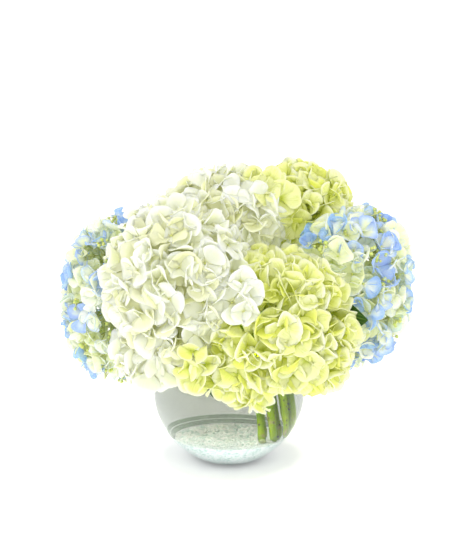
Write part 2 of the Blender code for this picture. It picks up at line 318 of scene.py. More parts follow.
def paintedReflectionFilm():
    # painted reflection: a grey green film inside the glass over the grit, thickest at the back and clear
    # in front, standing in for the dark band of shaded flower heads seen through the water
    made, tree, shader = newMaterial("paintedReflectionBand", {"Roughness": 0.6, "IOR": 1.36})
    place = addNode(tree, "ShaderNodeTexCoord")
    split = addNode(tree, "ShaderNodeSeparateXYZ", None, {0: place.outputs["Object"]})
    behind = addNode(tree, "ShaderNodeMapRange",
                     {"interpolation_type": "SMOOTHSTEP", 1: -20 * mm, 2: 25 * mm,
                      3: 0.0, 4: paintedBandFilm["cover"]},
                     {0: split.outputs[1]})
    specks = addNode(tree, "ShaderNodeTexNoise", {"Scale": 1 / (1.5 * mm), "Detail": 3.0},
                     {"Vector": place.outputs["Object"]})
    mixed = addNode(tree, "ShaderNodeMix",
                    {"data_type": "RGBA", 6: linear("#5E7263"), 7: linear("#8FA08C")},
                    {0: specks.outputs["Fac"]})
    tree.links.new(behind.outputs[0], shader.inputs["Alpha"])
    tree.links.new(mixed.outputs[2], shader.inputs["Base Color"])
    return made


def makePaintedReflectionFilm():
    bm = bmesh.new()
    for low, high in paintedBandFilm["bands"]:
        loop = []
        for inset, order in ((paintedBandFilm["gap"], 1), (paintedBandFilm["gap"] + paintedBandFilm["thick"], -1)):
            radius = innerRadius - inset
            heights = [low + (high - low) * i / 5 for i in range(6)][::order]
            loop += [ballPoint(radius, ballAngle(radius, bedHigh.z + height)) for height in heights]
        verts = [bm.verts.new((r, 0.0, z)) for r, z in loop]
        edges = [bm.edges.new((verts[i - 1], verts[i])) for i in range(len(verts))]
        bmesh.ops.spin(bm, geom=verts + edges, axis=(0, 0, 1), cent=(0, 0, 0), angle=math.tau,
                       steps=120, use_merge=True)
    bmesh.ops.remove_doubles(bm, verts=bm.verts, dist=1e-6)
    bmesh.ops.recalc_face_normals(bm, faces=bm.faces)
    return finishPiece("painted_reflection_film", bm, [paintedReflectionFilm()], "grit")


stems = {
    "radius": 3.2 * mm,
    "space": 1.2 * mm,        # between stems in the bunch
    "rimClear": 6 * mm,
    "footClear": 3 * mm,
    "footForward": 8 * mm,
    "footSpread": 1.35,
    "cutTilt": math.radians(38),
    "socket": 12 * mm,
    "rimPass": 14 * mm,
    "joints": (26 * mm, 58 * mm),     # spacing of the leaf joints along a stem
    "sunk": 8 * mm,                   # drawn this far past the foot, then cut off
    "steps": (2.5 * mm, 3 * mm),      # along the straight part, along the bend
    "bend": (0.38, 0.30),             # how strongly each end holds its direction
    "sides": 20,
    "seed": 5,
}
footLift = {"white_front": 3 * mm, "green_top": 16 * mm}

# direction round the bowl in degrees, out from the rim, up from it, half sizes in mm
heads = {
    "white_front": (-128, 25.2, 68, (73, 72, 86)),
    "white_top": (-129, -44.6, 121, (60, 58, 54)),
    "white_low": (-146.3, 31.9, -4, (45, 45, 47)),
    "white_back": (124, 38.3, 55, (75, 74, 76)),
    "green_front": (-55.9, 27.5, 25, (82, 72, 81)),
    "green_top": (27.8, 30.4, 119, (56, 56, 51)),
    "green_back": (55.6, 41.1, 49, (75, 74, 78)),
    "blue_right": (0, 66.0, 53, (70, 69, 84)),
    "blue_left": (169.4, 57.9, 33, (66, 68, 89)),
}
outerStems = ("white_low", "white_front", "green_front", "blue_right", "green_back", "white_back",
              "blue_left")
middleStems = ("white_top", "green_top")
firstOuterAngle = math.radians(-150)

pairHalf = stems["radius"] + stems["space"] / 2
ringRadius = pairHalf + 2 * stems["radius"] + stems["space"]
bunchReach = ringRadius + stems["radius"]
bunchMiddle = Vector((innerRadius * math.sin(mouthAngle) - stems["rimClear"] - bunchReach, 0, 0))
wallAtBed = innerRadius * math.sin(ballAngle(innerRadius, bedHigh.z))
footMiddle = Vector((wallAtBed - stems["footClear"] - ringRadius * stems["footSpread"] - stems["radius"],
                     -stems["footForward"], 0))


def headCentre(name):
    degrees, out, rise, _ = heads[name]
    away = bowl["mouth"] + out * mm
    return Vector((away * math.cos(math.radians(degrees)), away * math.sin(math.radians(degrees)),
                   mouthTop + rise * mm))


def headSizes(name):
    return Vector(heads[name][3]) * mm


def mouthPoint(name):
    if name in middleStems:
        return bunchMiddle + Vector((pairHalf * (-1, 1)[middleStems.index(name)], 0, mouthTop))
    angle = firstOuterAngle + math.tau * outerStems.index(name) / len(outerStems)
    return bunchMiddle + Vector((math.cos(angle) * ringRadius, math.sin(angle) * ringRadius, mouthTop))


def stemPath(name):
    mouth = mouthPoint(name)
    foot = footMiddle + stems["footSpread"] * (mouth - bunchMiddle)
    foot.z = bedHigh.z + footLift.get(name, 0.0)
    rise = (mouth - foot).normalized()
    centre = headCentre(name)
    outward = (centre - mouth).normalized()
    end = centre - outward * stems["socket"]
    end.z = max(end.z, mouthTop + stems["rimPass"])
    reach = (end - mouth).length
    start = foot - rise * stems["sunk"]
    straight = round((mouth - start).length / stems["steps"][0])
    points = [start.lerp(mouth, i / straight) for i in range(straight)]
    curved = round(reach / stems["steps"][1])
    a, b, c, d = (mouth, mouth + rise * reach * stems["bend"][0],
                  end - outward * reach * stems["bend"][1], end)
    for i in range(curved + 1):
        t = i / curved
        s = 1 - t
        points.append(a * s ** 3 + b * 3 * s * s * t + c * 3 * s * t * t + d * t ** 3)
    return points, foot


def greenStalk():
    # hydrangea stalk, first year's growth: smooth yellow green bark, fine ribs, dark pores
    # drawn about twice their size to show; under water it has little gloss
    made, tree, shader = newMaterial("greenBark", {
        "Roughness": 0.42, "IOR": 1.42, "Specular IOR Level": 0.12, "Subsurface Weight": 0.15,
        "Subsurface Radius": (0.6, 1.0, 0.2), "Subsurface Scale": 1 * mm})
    place = addNode(tree, "ShaderNodeTexCoord")
    stretched = addNode(tree, "ShaderNodeMapping", {"Scale": (1.0, 1.0, 0.12)},
                        {"Vector": place.outputs["Object"]})
    ribs = addNode(tree, "ShaderNodeTexNoise", {"Scale": 1 / (1.1 * mm), "Detail": 2.0},
                   {"Vector": stretched.outputs[0]})
    patches = addNode(tree, "ShaderNodeTexNoise", {"Scale": 1 / (14 * mm), "Detail": 3.0},
                      {"Vector": place.outputs["Object"]})
    ramp = addNode(tree, "ShaderNodeValToRGB", None, {"Fac": patches.outputs["Fac"]})
    stops = ramp.color_ramp.elements
    stops[0].position, stops[0].color = 0.3, linear("#7A9E00")
    stops[1].position, stops[1].color = 0.7, linear("#B4CE0C")
    ribbed = addNode(tree, "ShaderNodeMix",
                     {"data_type": "RGBA", "blend_type": "MULTIPLY", "Factor": 0.35},
                     {6: ramp.outputs["Color"], 7: ribs.outputs["Color"]})
    pores = addNode(tree, "ShaderNodeTexVoronoi", {"Scale": 1 / (4.2 * mm), "Randomness": 1.0},
                    {"Vector": place.outputs["Object"]})
    spot = addNode(tree, "ShaderNodeMapRange", {1: 0.17, 2: 0.27, 3: 1.0, 4: 0.0},
                   {0: pores.outputs["Distance"]})
    chance = addNode(tree, "ShaderNodeSeparateColor", None, {"Color": pores.outputs["Color"]})
    some = addNode(tree, "ShaderNodeMath", {"operation": "GREATER_THAN", 1: 0.45}, {0: chance.outputs[0]})
    amount = addNode(tree, "ShaderNodeMath", {"operation": "MULTIPLY"},
                     {0: spot.outputs[0], 1: some.outputs[0]})
    pored = addNode(tree, "ShaderNodeMix", {"data_type": "RGBA", 7: linear("#4A2A3A")},
                    {0: amount.outputs[0], 6: ribbed.outputs[2]})
    scar = addNode(tree, "ShaderNodeAttribute", {"attribute_name": "scar"})
    scarred = addNode(tree, "ShaderNodeMix", {"data_type": "RGBA", 7: linear("#A8985E")},
                      {0: scar.outputs["Fac"], 6: pored.outputs[2]})
    bump = addNode(tree, "ShaderNodeBump", {"Strength": 0.5, "Distance": 0.15 * mm},
                   {"Height": ribs.outputs["Fac"]})
    tree.links.new(scarred.outputs[2], shader.inputs["Base Color"])
    tree.links.new(bump.outputs["Normal"], shader.inputs["Normal"])
    return made


def cutPith():
    # fresh slanting cut: pale spongy pith, wet
    made, tree, shader = newMaterial("freshPith", {"Roughness": 0.35, "IOR": 1.4})
    place = addNode(tree, "ShaderNodeTexCoord")
    grain = addNode(tree, "ShaderNodeTexNoise", {"Scale": 1 / (0.8 * mm)},
                    {"Vector": place.outputs["Object"]})
    ramp = addNode(tree, "ShaderNodeValToRGB", None, {"Fac": grain.outputs["Fac"]})
    stops = ramp.color_ramp.elements
    stops[0].position, stops[0].color = 0.35, linear("#B9C56A")
    stops[1].position, stops[1].color = 0.65, linear("#E4E9B4")
    tree.links.new(ramp.outputs["Color"], shader.inputs["Base Color"])
    return made


def sliceOff(bm, point, normal, materialIndex):
    bmesh.ops.bisect_plane(bm, geom=bm.verts[:] + bm.edges[:] + bm.faces[:], dist=1e-7,
                           plane_co=point, plane_no=normal, clear_outer=True)
    rim = [edge for edge in bm.edges if edge.is_boundary]
    if rim:
        for face in bmesh.ops.holes_fill(bm, edges=rim, sides=len(rim))["faces"]:
            face.material_index = materialIndex


def makeStems(bark, pith):
    rnd = random.Random(stems["seed"])
    made = []
    for index, name in enumerate(heads):
        points, foot = stemPath(name)
        bm = bmesh.new()
        scar = bm.verts.layers.float.new("scar")
        joints, at = [], rnd.uniform(14, 30) * mm
        length = sum((b - a).length for a, b in zip(points, points[1:]))
        while at < length - 20 * mm:
            joints.append(at)
            at += rnd.uniform(*stems["joints"])
        radii, done = [], 0.0
        for i, point in enumerate(points):
            done += (point - points[i - 1]).length if i else 0.0
            swell = max([math.exp(-((done - joint) / (2.6 * mm)) ** 2) for joint in joints] + [0.0])
            radii.append(stems["radius"] * (0.95 + 0.17 * swell + 0.03 * noise.noise(point / (9 * mm))))
        sweepTube(bm, points, radii, stems["sides"])
        for vert in bm.verts:
            nearest = min(range(len(points)), key=lambda i: (points[i] - vert.co).length_squared)
            patch = smoothstep(-0.25, 0.25, noise.noise(vert.co / (3 * mm)))
            vert[scar] = smoothstep(1.04, 1.09, radii[nearest] / stems["radius"]) * patch
        floor = foot.z + 0.1 * mm
        foot.z = floor + stems["radius"] * math.tan(stems["cutTilt"]) * 0.95
        slant = Matrix.Rotation(index * 2.4, 3, "Z") @ Vector(
            (math.sin(stems["cutTilt"]), 0, -math.cos(stems["cutTilt"])))
        sliceOff(bm, foot, slant, 1)
        sliceOff(bm, Vector((0, 0, floor)), -up, 1)
        bmesh.ops.recalc_face_normals(bm, faces=bm.faces)
        made.append(finishPiece("stalk_" + name, bm, [bark, pith], "stalk", "stem_" + name))
    return made


# sepal length, bud size and loose, how far in a floret may sit, are in mm, and tilt is in degrees;
# cover is how many times over florets cover a head, tint how far the rim colour reaches in, and turn
# how unevenly florets face
# the deep colour is painted shade: florets sunk in the head take it, darker and yellower, for the shade
# in the hollows
# the glow colour and its strength are painted light: an even emission that lifts the shade between
# florets
bloom = {
    "white": {"heart": "#DFE192", "body": "#E8EBDC", "bodyAlt": "#E1E5CC", "rim": "#F4F7F0",
              "rimAlt": "#EFF3E4", "paintedRecessShade": "#DEDEA0", "glow": "#B8BC80", "paintedGlowStrength": 0.12,
              "vein": "#DFE4BE", "rimFrom": 0.5, "rimTo": 1.1, "heartReach": 0.22,
              "tint": (0.2, 0.7), "sepal": (17.0, 22.0), "cover": 2.5, "cup": (0.05, 0.65),
              "tilt": (2, 44), "turn": 0.42, "ruffle": 0.12, "loose": 6.0, "bud": "#D3D77C",
              "budSize": (0.9, 1.4), "clusters": 0},
    "green": {"heart": "#B4C42A", "body": "#E2E68C", "bodyAlt": "#F0F3B8", "rim": "#FBFCDE",
              "rimAlt": "#F4F6C0", "paintedRecessShade": "#CDD42C", "glow": "#A2AC34", "paintedGlowStrength": 0.14,
              "vein": "#C4CE50", "rimFrom": 0.7, "rimTo": 1.2, "heartReach": 0.40,
              "tint": (0.1, 0.7), "sepal": (16.0, 21.0), "cover": 2.3, "cup": (0.15, 0.85),
              "tilt": (5, 50), "turn": 0.42, "ruffle": 0.11, "loose": 7.0, "bud": "#CDD670",
              "budSize": (1.1, 1.7), "clusters": 0},
    "blue": {"heart": "#E9EBAA", "body": "#FBFCF4", "bodyAlt": "#EEF2C2", "rim": "#78A8F2",
             "rimAlt": "#87A2F2", "paintedRecessShade": "#D6DC90", "glow": "#B0BC90", "paintedGlowStrength": 0.18,
             "vein": "#C6D8F2", "rimFrom": 0.5, "rimTo": 1.45, "heartReach": 0.34,
             "tint": (-0.3, 1.2), "sepal": (12.0, 18.0), "cover": 2.0, "cup": (0.05, 0.70),
             "tilt": (0, 48), "turn": 0.5, "ruffle": 0.08, "loose": 8.0, "bud": "#BCD03C",
             "budSize": (1.0, 1.7), "clusters": 3},
}
# florets of one head that stand in front of its neighbours: where, and which way they face, in mm
extraFlorets = {
    "white_front": [((10, -108, 213), (0.4, -1, 0.3)), ((18, -114, 200), (0.2, -1, 0.3)),
                    ((3, -112, 194), (0.0, -1, 0.1)), ((14, -117, 187), (0.2, -1, 0.1))],
    "white_low": [((-50, -84, 123), (-0.1, -1, 0.1)), ((-63, -84, 121), (-0.2, -1, 0.0)),
                  ((-75, -80, 119), (-0.4, -1, -0.1))],
    "green_front": [((-33, -120, 149), (-0.2, -1, 0.2)), ((-37, -108, 132), (-0.4, -1, 0.1)),
                    ((-21, -108, 133), (0.0, -1, 0.3)), ((-28, -98, 118), (-0.3, -1, -0.1)),
                    ((-14, -94, 112), (-0.2, -1, 0.0)), ((-2, -94, 105), (0.0, -1, -0.1)),
                    ((12, -92, 110), (0.1, -1, -0.1)), ((18, -130, 144), (0.0, -1, 0.1))],
    "green_top": [((26, -12, 294), (0.0, -0.8, 0.6)), ((40, -11, 288), (0.1, -0.8, 0.5)),
                  ((35, -25, 281), (0.2, -1, 0.5)), ((49, -14, 272), (0.3, -1, 0.3))],
}
# right of the first, no floret of the head hangs below the second
hems = {"green_front": (25 * mm, 99 * mm), "white_low": (-200 * mm, 98 * mm)}
floret = {
    "kinds": 14,              # different florets of each colour
    "thickness": 0.32 * mm,
    "stalk": 17 * mm,
    "overlap": 7 * mm,        # heads mingle this far
    "outside": (0, 7 * mm),   # sepals may pass the solid head by this much
    "boxSlack": (-1.5 * mm, 3 * mm, 3 * mm),    # past the CAD box, in x, y and z
    "giveWay": 14 * mm,       # room left round another head's extra florets
    "pushed": 8 * mm,         # one that the glass pushes out further than this is left off
    "offGlass": 0.8 * mm,
    "overGlass": 7 * mm,      # how far its middle sits over the bowl
    "sunkInGlass": 12 * mm,   # deeper than this it is left off, as it is near or over the open mouth
    "fromMouth": 6 * mm,
    "overMouth": 40 * mm,
    "beyond": 20 * mm,        # so far past the plane where two heads meet, it is left off
    "layers": ((0.0, 1.0), (10 * mm, 0.75)),    # how deep, and what share of the count
    "branches": 11,
}


def sepalMaterial(kind):
    # living hydrangea sepal: thin, soft and lit through, with fine veins fanning from the claw;
    # its faint glow is painted light: an even emission standing in for day light passed on from petal to
    # petal, which lifts the shade between florets
    look = bloom[kind]
    made, tree, shader = newMaterial(kind + "Sepal", {
        "Roughness": 0.55, "IOR": 1.38, "Subsurface Weight": 0.85, "Subsurface Radius": (1.0, 1.0, 0.7),
        "Subsurface Scale": 1.5 * mm, "Sheen Weight": 0.06, "Sheen Roughness": 0.5,
        "Emission Color": linear(look["glow"]), "Emission Strength": look["paintedGlowStrength"]})
    petal = addNode(tree, "ShaderNodeAttribute", {"attribute_name": "petal"})
    parts = addNode(tree, "ShaderNodeSeparateColor", None, {"Color": petal.outputs["Color"]})
    own = addNode(tree, "ShaderNodeAttribute", {"attribute_name": "own"})
    owned = addNode(tree, "ShaderNodeSeparateColor", None, {"Color": own.outputs["Color"]})
    flat = addNode(tree, "ShaderNodeUVMap", {"uv_map": "sepal"})
    fan = addNode(tree, "ShaderNodeMapping", {"Scale": (20.0, 2.0, 1.0)}, {"Vector": flat.outputs[0]})
    streaks = addNode(tree, "ShaderNodeTexNoise", {"Scale": 1.0, "Detail": 3.0, "Roughness": 0.6},
                      {"Vector": fan.outputs[0]})
    place = addNode(tree, "ShaderNodeTexCoord")
    patches = addNode(tree, "ShaderNodeTexNoise", {"Scale": 1 / (11 * mm), "Detail": 2.0},
                      {"Vector": place.outputs["Object"]})
    varied = addNode(tree, "ShaderNodeMath", {"operation": "MULTIPLY_ADD", 1: 0.7, 2: -0.1},
                     {0: owned.outputs[1]})
    blotch = addNode(tree, "ShaderNodeMath", {"operation": "MULTIPLY_ADD", 1: 0.8, "use_clamp": True},
                     {0: patches.outputs["Fac"], 2: varied.outputs[0]})
    body = addNode(tree, "ShaderNodeMix",
                   {"data_type": "RGBA", 6: linear(look["body"]), 7: linear(look["bodyAlt"])},
                   {0: blotch.outputs[0]})
    nearHeart = addNode(tree, "ShaderNodeMapRange",
                        {"interpolation_type": "SMOOTHSTEP", 2: look["heartReach"], 3: 0.8, 4: 0.0},
                        {0: parts.outputs[0]})
    hearted = addNode(tree, "ShaderNodeMix", {"data_type": "RGBA", 7: linear(look["heart"])},
                      {0: nearHeart.outputs[0], 6: body.outputs[2]})
    # rim colour, drawn in along the veins
    drawn = addNode(tree, "ShaderNodeMath", {"operation": "MULTIPLY_ADD", 1: 0.6},
                    {0: streaks.outputs["Fac"], 2: parts.outputs[1]})
    shifted = addNode(tree, "ShaderNodeMath", {"operation": "MULTIPLY_ADD", 1: 1.1, 2: -0.6},
                      {0: owned.outputs[0]})
    reach = addNode(tree, "ShaderNodeMath", {"operation": "ADD"},
                    {0: drawn.outputs[0], 1: shifted.outputs[0]})
    atRim = addNode(tree, "ShaderNodeMapRange",
                    {"interpolation_type": "SMOOTHSTEP", 1: look["rimFrom"], 2: look["rimTo"],
                     3: 0.0, 4: 1.0},
                    {0: reach.outputs[0]})
    rim = addNode(tree, "ShaderNodeMix",
                  {"data_type": "RGBA", 6: linear(look["rim"]), 7: linear(look["rimAlt"])},
                  {0: owned.outputs[1]})
    rimmed = addNode(tree, "ShaderNodeMix", {"data_type": "RGBA"},
                     {0: atRim.outputs[0], 6: hearted.outputs[2], 7: rim.outputs[2]})
    # the veins themselves, a shade deeper
    onVein = addNode(tree, "ShaderNodeMapRange",
                     {"interpolation_type": "SMOOTHSTEP", 1: 0.5, 2: 0.68, 3: 0.0, 4: 0.4},
                     {0: streaks.outputs["Fac"]})
    veined = addNode(tree, "ShaderNodeMix", {"data_type": "RGBA", 7: linear(look["vein"])},
                     {0: onVein.outputs[0], 6: rimmed.outputs[2]})
    # painted shade: florets deep in the head take a darker, yellower colour, standing in for the shade in
    # the hollows between florets
    paintedRecessShade = addNode(tree, "ShaderNodeMix", {"data_type": "RGBA", 7: linear(look["paintedRecessShade"])},
                   {0: owned.outputs[2], 6: veined.outputs[2]})
    bump = addNode(tree, "ShaderNodeBump", {"Strength": 0.35, "Distance": 0.25 * mm},
                   {"Height": streaks.outputs["Fac"]})
    tree.links.new(paintedRecessShade.outputs[2], shader.inputs["Base Color"])
    tree.links.new(bump.outputs["Normal"], shader.inputs["Normal"])
    return made


def budMaterial(kind):
    # the closed true flower in the middle of each floret, waxy
    look = bloom[kind]
    made, tree, shader = newMaterial(kind + "Bud", {
        "Roughness": 0.4, "IOR": 1.4, "Subsurface Weight": 0.2, "Subsurface Scale": 0.8 * mm})
    place = addNode(tree, "ShaderNodeTexCoord")
    tone = addNode(tree, "ShaderNodeTexNoise", {"Scale": 1 / (2 * mm)},
                   {"Vector": place.outputs["Object"]})
    mixed = addNode(tree, "ShaderNodeMix",
                    {"data_type": "RGBA", 6: linear(look["bud"]), 7: linear(look["heart"])},
                    {0: tone.outputs["Fac"]})
    tree.links.new(mixed.outputs[2], shader.inputs["Base Color"])
    return made


def twigMaterial():
    # flower stalks inside the head: pale green, matt
    made, tree, shader = newMaterial("paleFlowerStalk", {
        "Roughness": 0.5, "IOR": 1.4, "Subsurface Weight": 0.2, "Subsurface Scale": 0.8 * mm})
    place = addNode(tree, "ShaderNodeTexCoord")
    tone = addNode(tree, "ShaderNodeTexNoise", {"Scale": 1 / (6 * mm)},
                   {"Vector": place.outputs["Object"]})
    mixed = addNode(tree, "ShaderNodeMix",
                    {"data_type": "RGBA", 6: linear("#B7C46A"), 7: linear("#D9DFA4")},
                    {0: tone.outputs["Fac"]})
    tree.links.new(mixed.outputs[2], shader.inputs["Base Color"])
    return made


def addSepal(bm, layers, place, form):
    # one sepal: a grid rounded to a disc, narrowed to a claw, then cupped, creased, curled and ruffled
    made = bmesh.ops.create_grid(bm, x_segments=5, y_segments=5, size=1.0)["verts"]
    flat = {}
    for vert in made:
        u, v = vert.co.x, vert.co.y
        x = u * math.sqrt(1 - v * v / 2)
        y = v * math.sqrt(1 - u * u / 2)
        margin = min(1.0, math.hypot(x, y))
        flat[vert] = (0.5 + u / 2, 0.5 + v / 2)
        along = (y + 1) / 2
        claw = 0.30 + 0.70 * smoothstep(0.0, 0.55, along)
        notch = form["notch"] * smoothstep(0.6, 1.0, along) * math.exp(-(x / 0.28) ** 2)
        side = x * form["width"] * claw
        length = along * (1 + form["point"] * along ** 3 * max(0.0, 1 - abs(x) * 1.6)) - notch
        ripple = math.sin(form["waves"] * math.atan2(x, y + 0.2) + form["phase"])
        wave = form["ruffle"] * margin ** 3 * ripple
        lift = (form["cup"] * (along - 0.15) ** 2 + form["crease"] * x * x * claw
                + form["twist"] * x * along - form["curl"] * max(0.0, along - 0.6) ** 2 + wave * along)
        vert.co = place @ Vector((side * form["size"], (0.05 + length * 0.97) * form["size"],
                                  (lift + form["stack"]) * form["size"]))
        vert[layers["petal"]] = (along, margin * smoothstep(0.0, 0.35, along), 0.0, 1.0)
        vert[layers["own"]] = (0.0, 0.0, 0.0, 1.0)
    for face in {face for vert in made for face in vert.link_faces}:
        for loop in face.loops:
            loop[layers["uv"]].uv = flat[loop.vert]


def startFloret():
    bm = bmesh.new()
    return bm, {"petal": bm.verts.layers.float_color.new("petal"),
                "own": bm.verts.layers.float_color.new("own"),
                "uv": bm.loops.layers.uv.new("sepal")}


def addBud(bm, spot, radius):
    had = len(bm.faces)
    bmesh.ops.create_icosphere(bm, subdivisions=1, radius=radius, matrix=Matrix.Translation(spot))
    bm.faces.ensure_lookup_table()
    for face in bm.faces[had:]:
        face.material_index = 1


def addFlowerStalk(bm, points, radii):
    had = len(bm.faces)
    sweepTube(bm, points, radii, 5)
    bm.faces.ensure_lookup_table()
    for face in bm.faces[had:]:
        face.material_index = 2


def keepMesh(bm, name):
    bmesh.ops.recalc_face_normals(bm, faces=bm.faces)
    mesh = bpy.data.meshes.new(name)
    bm.to_mesh(mesh)
    bm.free()
    return mesh


def openFloret(kind, rnd):
    # faces up, at the origin; built for an average sepal, then scaled where it is used
    look = bloom[kind]
    bm, layers = startFloret()
    average = sum(look["sepal"]) / 2 * mm
    count = rnd.choices((3, 4, 5), (1, 12, 1))[0]
    openness = rnd.uniform(*look["tilt"])
    for i in range(count):
        form = {
            "size": average * rnd.uniform(0.86, 1.12),
            "width": (0.6 if count == 4 else 0.54) * rnd.uniform(0.88, 1.18),
            "cup": rnd.uniform(*look["cup"]),
            "crease": rnd.uniform(-0.25, 0.45),
            "twist": rnd.uniform(-0.25, 0.25),
            "curl": rnd.uniform(0.0, 1.6),
            "ruffle": look["ruffle"] * rnd.uniform(0.3, 1.4),
            "waves": rnd.uniform(2.0, 5.0),
            "phase": rnd.uniform(0, math.tau),
            "notch": 0.10 * max(0.0, rnd.uniform(-1, 1)),
            "point": rnd.uniform(-0.05, 0.16),
            "stack": 0.02 if i % 2 else 0.05,
        }
        tilt = math.radians(openness + rnd.uniform(-18, 20))
        place = (Matrix.Rotation(math.tau * i / count + rnd.uniform(-0.18, 0.18), 4, "Z")
                 @ Matrix.Rotation(tilt, 4, "X") @ Matrix.Rotation(rnd.uniform(-0.3, 0.3), 4, "Y"))
        addSepal(bm, layers, place, form)
    bmesh.ops.solidify(bm, geom=bm.faces[:], thickness=floret["thickness"])
    addBud(bm, Vector((0, 0, average * 0.07)), rnd.uniform(*look["budSize"]) * mm)
    lean = Vector((rnd.uniform(-3, 3), rnd.uniform(-3, 3), 0)) * mm
    addFlowerStalk(bm, [Vector((0, 0, 0.5 * mm)), lean * 0.3 - up * floret["stalk"] * 0.4,
                        lean - up * floret["stalk"]], (0.5 * mm, 0.55 * mm, 0.7 * mm))
    return keepMesh(bm, kind + "Floret")


def budCluster(kind, rnd):
    # flowers still shut: a spray of round buds on short stalks
    bm, _ = startFloret()
    for _ in range(rnd.randint(5, 8)):
        out = Vector((rnd.gauss(0, 3.2), rnd.gauss(0, 3.2), rnd.uniform(1, 5))) * mm
        addBud(bm, out, rnd.uniform(1.3, 2.4) * mm)
        addFlowerStalk(bm, [out, out * 0.4 - up * 5 * mm, -up * 12 * mm],
                       (0.35 * mm, 0.4 * mm, 0.45 * mm))
    return keepMesh(bm, kind + "Buds")


def reachOf(sizes, direction):
    return 1 / math.sqrt(sum((d / s) ** 2 for d, s in zip(direction, sizes)))


def meetingPlane(name, other):
    centre = headCentre(name)
    apart = headCentre(other) - centre
    direction = apart.normalized()
    near = reachOf(headSizes(name), direction)
    far = reachOf(headSizes(other), direction)
    return centre + apart * near / (near + far), direction


def headSpots(name, look, rnd):
    # where florets sit: a spiral over the head, kept off the glass and pressed back by its neighbours
    centre, sizes = headCentre(name), headSizes(name)
    planes = [meetingPlane(name, other) for other in heads if other != name]
    area = 4 * math.pi * ((sizes.x * sizes.y) ** 1.6 / 3 + (sizes.x * sizes.z) ** 1.6 / 3
                          + (sizes.y * sizes.z) ** 1.6 / 3) ** (1 / 1.6)
    floretArea = math.pi * (sum(look["sepal"]) / 2 * mm) ** 2
    count = int(area / floretArea * look["cover"])
    spots = []
    others = [Vector(spot) * mm for other in extraFlorets if other != name
              for spot, _ in extraFlorets[other]]
    for layer, (sink, share) in enumerate(floret["layers"]):
        total = int(count * share)
        for i in range(total):
            z = 1 - 2 * (i + 0.5) / total
            around = i * math.pi * (3 - math.sqrt(5)) + layer
            flatR = math.sqrt(1 - z * z)
            direction = Vector((flatR * math.cos(around), flatR * math.sin(around), z))
            direction = (direction + Vector([rnd.gauss(0, 0.07) for _ in range(3)])).normalized()
            loose = look["loose"] * mm * abs(rnd.gauss(0, 0.5)) + 4 * mm
            inner = Vector([s - sink - loose for s in sizes])
            spot = centre + Vector([d * s for d, s in zip(direction, inner)])
            facing = Vector([d / s for d, s in zip(direction, sizes)]).normalized()
            beyond = 0.0
            for point, apart in planes:
                over = (spot - point).dot(apart) + floret["overlap"]
                if over > 0:
                    beyond = max(beyond, over)
                    spot -= apart * over
                    facing = (facing - apart * 0.5 * smoothstep(0, 0.025, over)).normalized()
            if beyond > floret["beyond"]:
                continue
            fromGlass = spot - bowlCentre
            resting = bowl["radius"] + floret["overGlass"]
            if fromGlass.length < resting:
                sunk = fromGlass.length < bowl["radius"] - floret["sunkInGlass"]
                if sunk or math.hypot(spot.x, spot.y) < bowl["mouth"] + floret["fromMouth"]:
                    continue
                spot = bowlCentre + fromGlass.normalized() * resting
            if math.hypot(spot.x, spot.y) < bowl["mouth"] and spot.z < mouthTop + floret["overMouth"]:
                continue
            if any((spot - taken).length < floret["giveWay"] for taken in others):
                continue
            facing = (facing + Vector([rnd.gauss(0, look["turn"]) for _ in range(3)])).normalized()
            spots.append((spot, facing, layer * 0.5 + rnd.uniform(0, 0.12), False))
    for spot, facing in extraFlorets.get(name, []):
        spots.append((Vector(spot) * mm, Vector(facing).normalized(), 0.05, True))
    return spots


def settle(mesh, spot, centre, sizes, hem, allowed, loose):
    # moves one placed floret inside its head's solid and clear of the glass; False if it has no room
    def standsOut(shift):
        most = 0.0
        for vert in mesh.vertices:
            out = vert.co + shift - centre
            scaled = math.sqrt((out.x / sizes.x) ** 2 + (out.y / sizes.y) ** 2 + (out.z / sizes.z) ** 2)
            most = max(most, out.length * (1 - 1 / scaled) if scaled > 1 else 0.0)
        return most

    shift = Vector() if loose else (centre - spot).normalized() * max(0.0, standsOut(Vector()) - allowed)
    nearest = min((vert.co + shift - bowlCentre).length for vert in mesh.vertices)
    short = bowl["radius"] + floret["offGlass"] - nearest
    if short > 0 and spot.z < rimTop + 30 * mm and math.hypot(spot.x, spot.y) > bowl["mouth"]:
        shift += (spot - bowlCentre).normalized() * short
        if not loose and standsOut(shift) > floret["pushed"]:
            return False
    if spot.x > hem[0]:
        shift.z += max(0.0, hem[1] - min(vert.co.z for vert in mesh.vertices) - shift.z)
    for k in range(3):
        spread = [vert.co[k] for vert in mesh.vertices]
        over = max(spread) + shift[k] - cadBox[1][k] - floret["boxSlack"][k]
        under = cadBox[0][k] - floret["boxSlack"][k] - min(spread) - shift[k]
        shift[k] += max(0.0, under) - max(0.0, over)
    mesh.transform(Matrix.Translation(shift))
    return True


